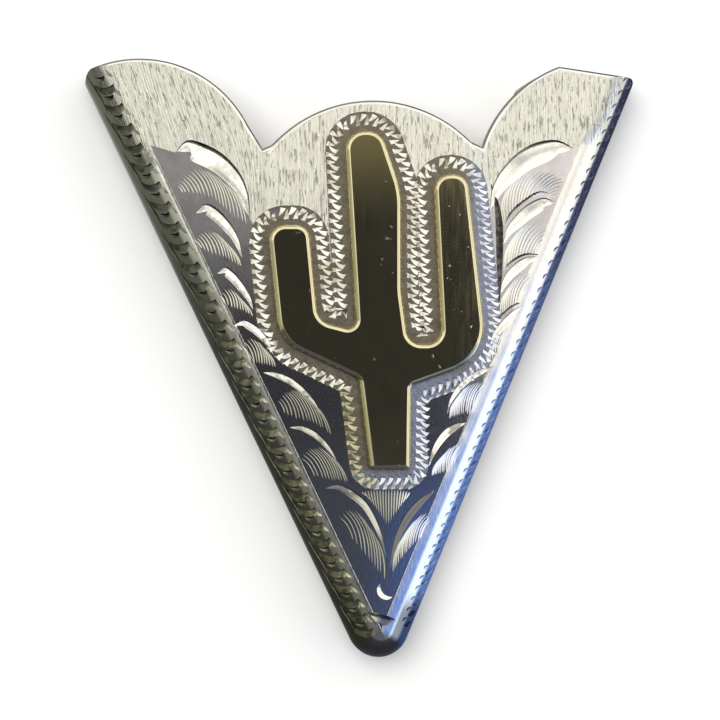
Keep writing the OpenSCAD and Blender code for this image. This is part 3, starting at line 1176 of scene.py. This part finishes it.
def engraved_shell():
    shell = folded_shell()
    worked(shell, leaf_field(), "DIFFERENCE")
    worked(shell, overlay_surround(), "DIFFERENCE")
    chance = random.Random(7)
    strokes = []
    for leaf in LEAVES:
        strokes += leaf_strokes(*leaf, chance)
    strokes += border_strokes(chance)
    strokes += side_strokes(LEFT_ROW, chance)
    strokes += side_strokes(RIGHT_ROW, chance)
    strokes += triangle_lines()
    strokes += shaded_strokes()
    strokes += nose_strokes()
    engrave(shell, strokes)
    return shell


def smooth_but_crisp(target, crease):
    """Smooth rolls with crisp cuts: an edge is sharp past the crease angle, and all round the plate."""
    bm = bmesh.new()
    bm.from_mesh(target.data)
    limit = math.radians(crease)
    for face in bm.faces:
        face.smooth = True
    for edge in bm.edges:
        flats = sum(f.normal.z > 0.99999 for f in edge.link_faces)
        angle = edge.calc_face_angle(0.0) if len(edge.link_faces) == 2 else 0.0
        edge.smooth = angle < limit and flats != 1
    bm.to_mesh(target.data)
    bm.free()


def finished(target, name, body, node):
    """Brings a piece from millimetres to metres and hands it to the frame."""
    target.name = name
    target.data.name = name
    target.data.transform(Matrix.Scale(MM, 4))
    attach(target, body)
    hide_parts(node)
    return target


shell = engraved_shell()
smooth_but_crisp(shell, 8)
shell.data.transform(Matrix.Translation(DRAWING_SHIFT))
finished(shell, "engraved_shell", "root", "tip_shell")


# Gold overlay

def gold_cactus():
    """The overlay, with a wide rounding on its upper edge and a narrow one under it."""
    high = CACTUS_LOW + CACTUS_T
    outline = rounded_outline(off_sketch(CACTUS_CORNERS), CORNER_FLATS)
    bm = standing(outline, CACTUS_LOW, high)
    bmesh.ops.remove_doubles(bm, verts=bm.verts, dist=WELD)
    rounded_over(bm, edges_where(bm, lambda p: p.z > high - 0.01), CACTUS_EDGE, 8)
    rounded_over(bm, edges_where(bm, lambda p: p.z < CACTUS_LOW + 0.01), CACTUS_UNDER_EDGE, 2)
    top = max(bm.faces, key=lambda f: f.calc_center_median().z)
    bmesh.ops.inset_individual(bm, faces=[top], thickness=0.02)
    for face in bm.faces:
        face.smooth = True
    bmesh.ops.recalc_face_normals(bm, faces=bm.faces)
    made = as_object("gold_cactus", bm, [polished_gold()])
    made.data.set_sharp_from_angle(angle=math.radians(25))
    return made


overlay = gold_cactus()
overlay.data.transform(Matrix.Translation(DRAWING_SHIFT))
finished(overlay, "gold_cactus", "root", "cactus_overlay")


# Tack pin on its pad

def tack_pin():
    """Pad, fillet, post and point as one turned profile."""
    low, high = (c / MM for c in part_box("tack_pin"))
    centre = (low + high) / 2
    pad_r = (high.x - low.x) / 2
    pad = [
        (0.0, high.z), (pad_r - 0.08, high.z), (pad_r, high.z - 0.08), (pad_r, high.z - 0.27),
        (pad_r - 0.08, high.z - 0.35),
    ]
    fillet = [
        (0.80, high.z - 0.36), (0.64, high.z - 0.43), (0.54, high.z - 0.55), (0.50, high.z - 0.72),
    ]
    post = [
        (0.50, low.z + 0.95), (0.47, low.z + 0.80), (0.14, low.z + 0.06), (0.07, low.z + 0.01),
        (0.0, low.z),
    ]
    bm = turned(pad + fillet + post, POST_FLATS)
    bmesh.ops.translate(bm, vec=(centre.x, centre.y, 0), verts=bm.verts)
    for face in bm.faces:
        face.smooth = True
    made = as_object("tack_post", bm, [pin_steel()])
    made.data.set_sharp_from_angle(angle=math.radians(35))
    return made


finished(tack_pin(), "tack_post", "root", "tack_pin")


# Floor, light and camera

def studio_floor():
    bm = bmesh.new()
    bmesh.ops.create_grid(bm, x_segments=4, y_segments=4, size=3.0)
    made = as_object("studio_floor", bm, [pale_floor()])
    made.visible_glossy = False


def soft_room():
    """The room that the silver mirrors: dark overhead, bright all round, olive left, blue right."""
    world = bpy.data.worlds.new("soft_room")
    bpy.context.scene.world = world
    b = Bench(world)
    way = b.add("ShaderNodeTexCoord", out=0)
    x, y, z = b.axes(way)
    polar = b.add("ShaderNodeMath", {"operation": "ARCCOSINE"}, {0: z}) * (1 / math.pi)

    def facing(degrees, half_in, half_out, from_x=0.0):
        """One inside half_in degrees of a direction counted from +X, nothing past half_out."""
        flat = b.add("ShaderNodeCombineXYZ", None, {0: x - from_x, 1: y, 2: 0.0})
        flat = b.add("ShaderNodeVectorMath", {"operation": "NORMALIZE"}, {0: flat})
        aim = (math.cos(math.radians(degrees)), math.sin(math.radians(degrees)), 0.0)
        dot = b.add("ShaderNodeVectorMath", {"operation": "DOT_PRODUCT"}, {0: flat, 1: aim}, out=1)
        return b.smooth(dot, math.cos(math.radians(half_out)), math.cos(math.radians(half_in)))

    def rings(stops):
        """Colours by their angle from straight up, in degrees."""
        shares = [(degrees / 180, colour) for degrees, colour in stops]
        return b.add("ShaderNodeValToRGB", {"stops": shares}, {0: polar})

    white = (1.25, 1.22, 1.12)
    upper = rings([
        (0, white), (62, white), (80, (0.50, 0.50, 0.46)), (95, (0.25, 0.25, 0.23)),
        (130, (0.18, 0.18, 0.17)), (180, (0.3, 0.3, 0.3)),
    ])
    up_right_side = y * 0.924 + x * 0.382
    lower_part = b.smooth(up_right_side, 0.115, 0.055)
    band = b.blend(lower_part, (0.036, 0.034, 0.055, 1), (0.085, 0.13, 0.33, 1))
    right_upper = b.blend(b.smooth(polar, 82 / 180, 93 / 180), (*white, 1), band)
    left = rings([
        (0, (0.50, 0.50, 0.46)), (8, (0.50, 0.50, 0.46)), (11, (0.22, 0.22, 0.19)),
        (22, (0.22, 0.22, 0.18)), (36, (0.17, 0.17, 0.135)), (50, (0.150, 0.160, 0.120)),
        (100, (0.112, 0.120, 0.090)), (140, (0.125, 0.125, 0.112)), (180, (0.20, 0.20, 0.175)),
    ])
    left = b.blend(1.0, left, b.smooth(y * 0.902 - x * 0.431, -0.035, 0.065, 0.64, 2.9), "MULTIPLY")
    right = rings([
        (0, (0.06, 0.12, 0.34)), (11, (0.13, 0.25, 0.66)), (40, (0.16, 0.30, 0.76)),
        (50, (1.0, 1.2, 1.5)), (82, (1.0, 1.2, 1.5)), (94, (0.13, 0.25, 0.62)),
        (180, (0.09, 0.14, 0.38)),
    ])
    near_nose = rings([
        (0, (0.08, 0.08, 0.09)), (30, (0.105, 0.105, 0.15)), (55, (0.125, 0.125, 0.15)),
        (90, (0.075, 0.075, 0.10)), (180, (0.15, 0.15, 0.15)),
    ])

    # All round, and what the right roll, the nose and the left roll mirror
    clutter = b.noise(way, 3.2, 2.0, 0.55)
    colour = b.blend(facing(15, 50, 75), upper, right_upper)
    colour = b.blend(b.smooth(clutter, 0.50, 0.68, 0.0, 0.75), colour, (0.16, 0.16, 0.16, 1))
    colour = b.blend(facing(268, 30, 50), colour, near_nose)
    colour = b.blend(facing(205, 24, 42), colour, left)
    right = b.blend(b.smooth(up_right_side, -0.42, -0.02), near_nose, right)
    colour = b.blend(facing(-41, 17, 24, 0.079), colour, right)

    # The dark patch overhead, which the flat plate and the overlay mirror
    aside = (x - 0.050) / 0.098
    ahead = (y + 0.010) / 0.150
    patch = b.smooth(aside * aside + ahead * ahead, 1.12, 0.90)
    blue_end = b.smooth(y, -0.030, -0.060) * b.smooth(x, 0.107, 0.121)
    dark = b.blend(b.smooth(y, -0.01, -0.05), (0.036, 0.036, 0.039, 1), (0.058, 0.062, 0.066, 1))
    dark = b.blend(blue_end, dark, (0.09, 0.17, 0.48, 1))
    olive_end = b.smooth(y, 0.042, 0.075) * b.smooth(x, 0.075, 0.095)
    dark = b.blend(olive_end, dark, (0.20, 0.19, 0.13, 1))
    colour = b.blend(patch, colour, dark)
    shader = b.add("ShaderNodeBackground", None, {"Color": colour, "Strength": 1.0})
    b.add("ShaderNodeOutputWorld", None, {"Surface": shader})


def overhead_fill():
    """A wide soft panel for the floor; the polished silver doesn't see it."""
    panel = bpy.data.lights.new("overhead_fill", "AREA")
    panel.shape = "DISK"
    panel.size = 0.5
    panel.energy = 2.5
    made = bpy.data.objects.new("overhead_fill", panel)
    made.location = (-0.17, 0.12, 0.56)
    made.rotation_euler = (-made.location).to_track_quat("-Z", "Y").to_euler()
    made.visible_glossy = False
    made.visible_camera = False
    bpy.context.scene.collection.objects.link(made)


def copy_stand_camera():
    """Straight above the middle of the photograph, so a little to the left of the tip."""
    lens = bpy.data.cameras.new("copy_stand_camera")
    lens.lens = 160
    lens.clip_start = 0.01
    lens.clip_end = 10
    made = bpy.data.objects.new("copy_stand_camera", lens)
    made.location = (-0.0224, 0.0001, 0.228)
    back = (made.location - Vector((0, 0, 0.003))).normalized()
    right = Vector((0, 1, 0)).cross(back).normalized()
    made.rotation_mode = "QUATERNION"
    made.rotation_quaternion = Matrix((right, back.cross(right), back)).transposed().to_quaternion()
    bpy.context.scene.collection.objects.link(made)
    bpy.context.scene.camera = made


studio_floor()
soft_room()
overhead_fill()
copy_stand_camera()
bpy.context.scene.view_settings.view_transform = "Standard"
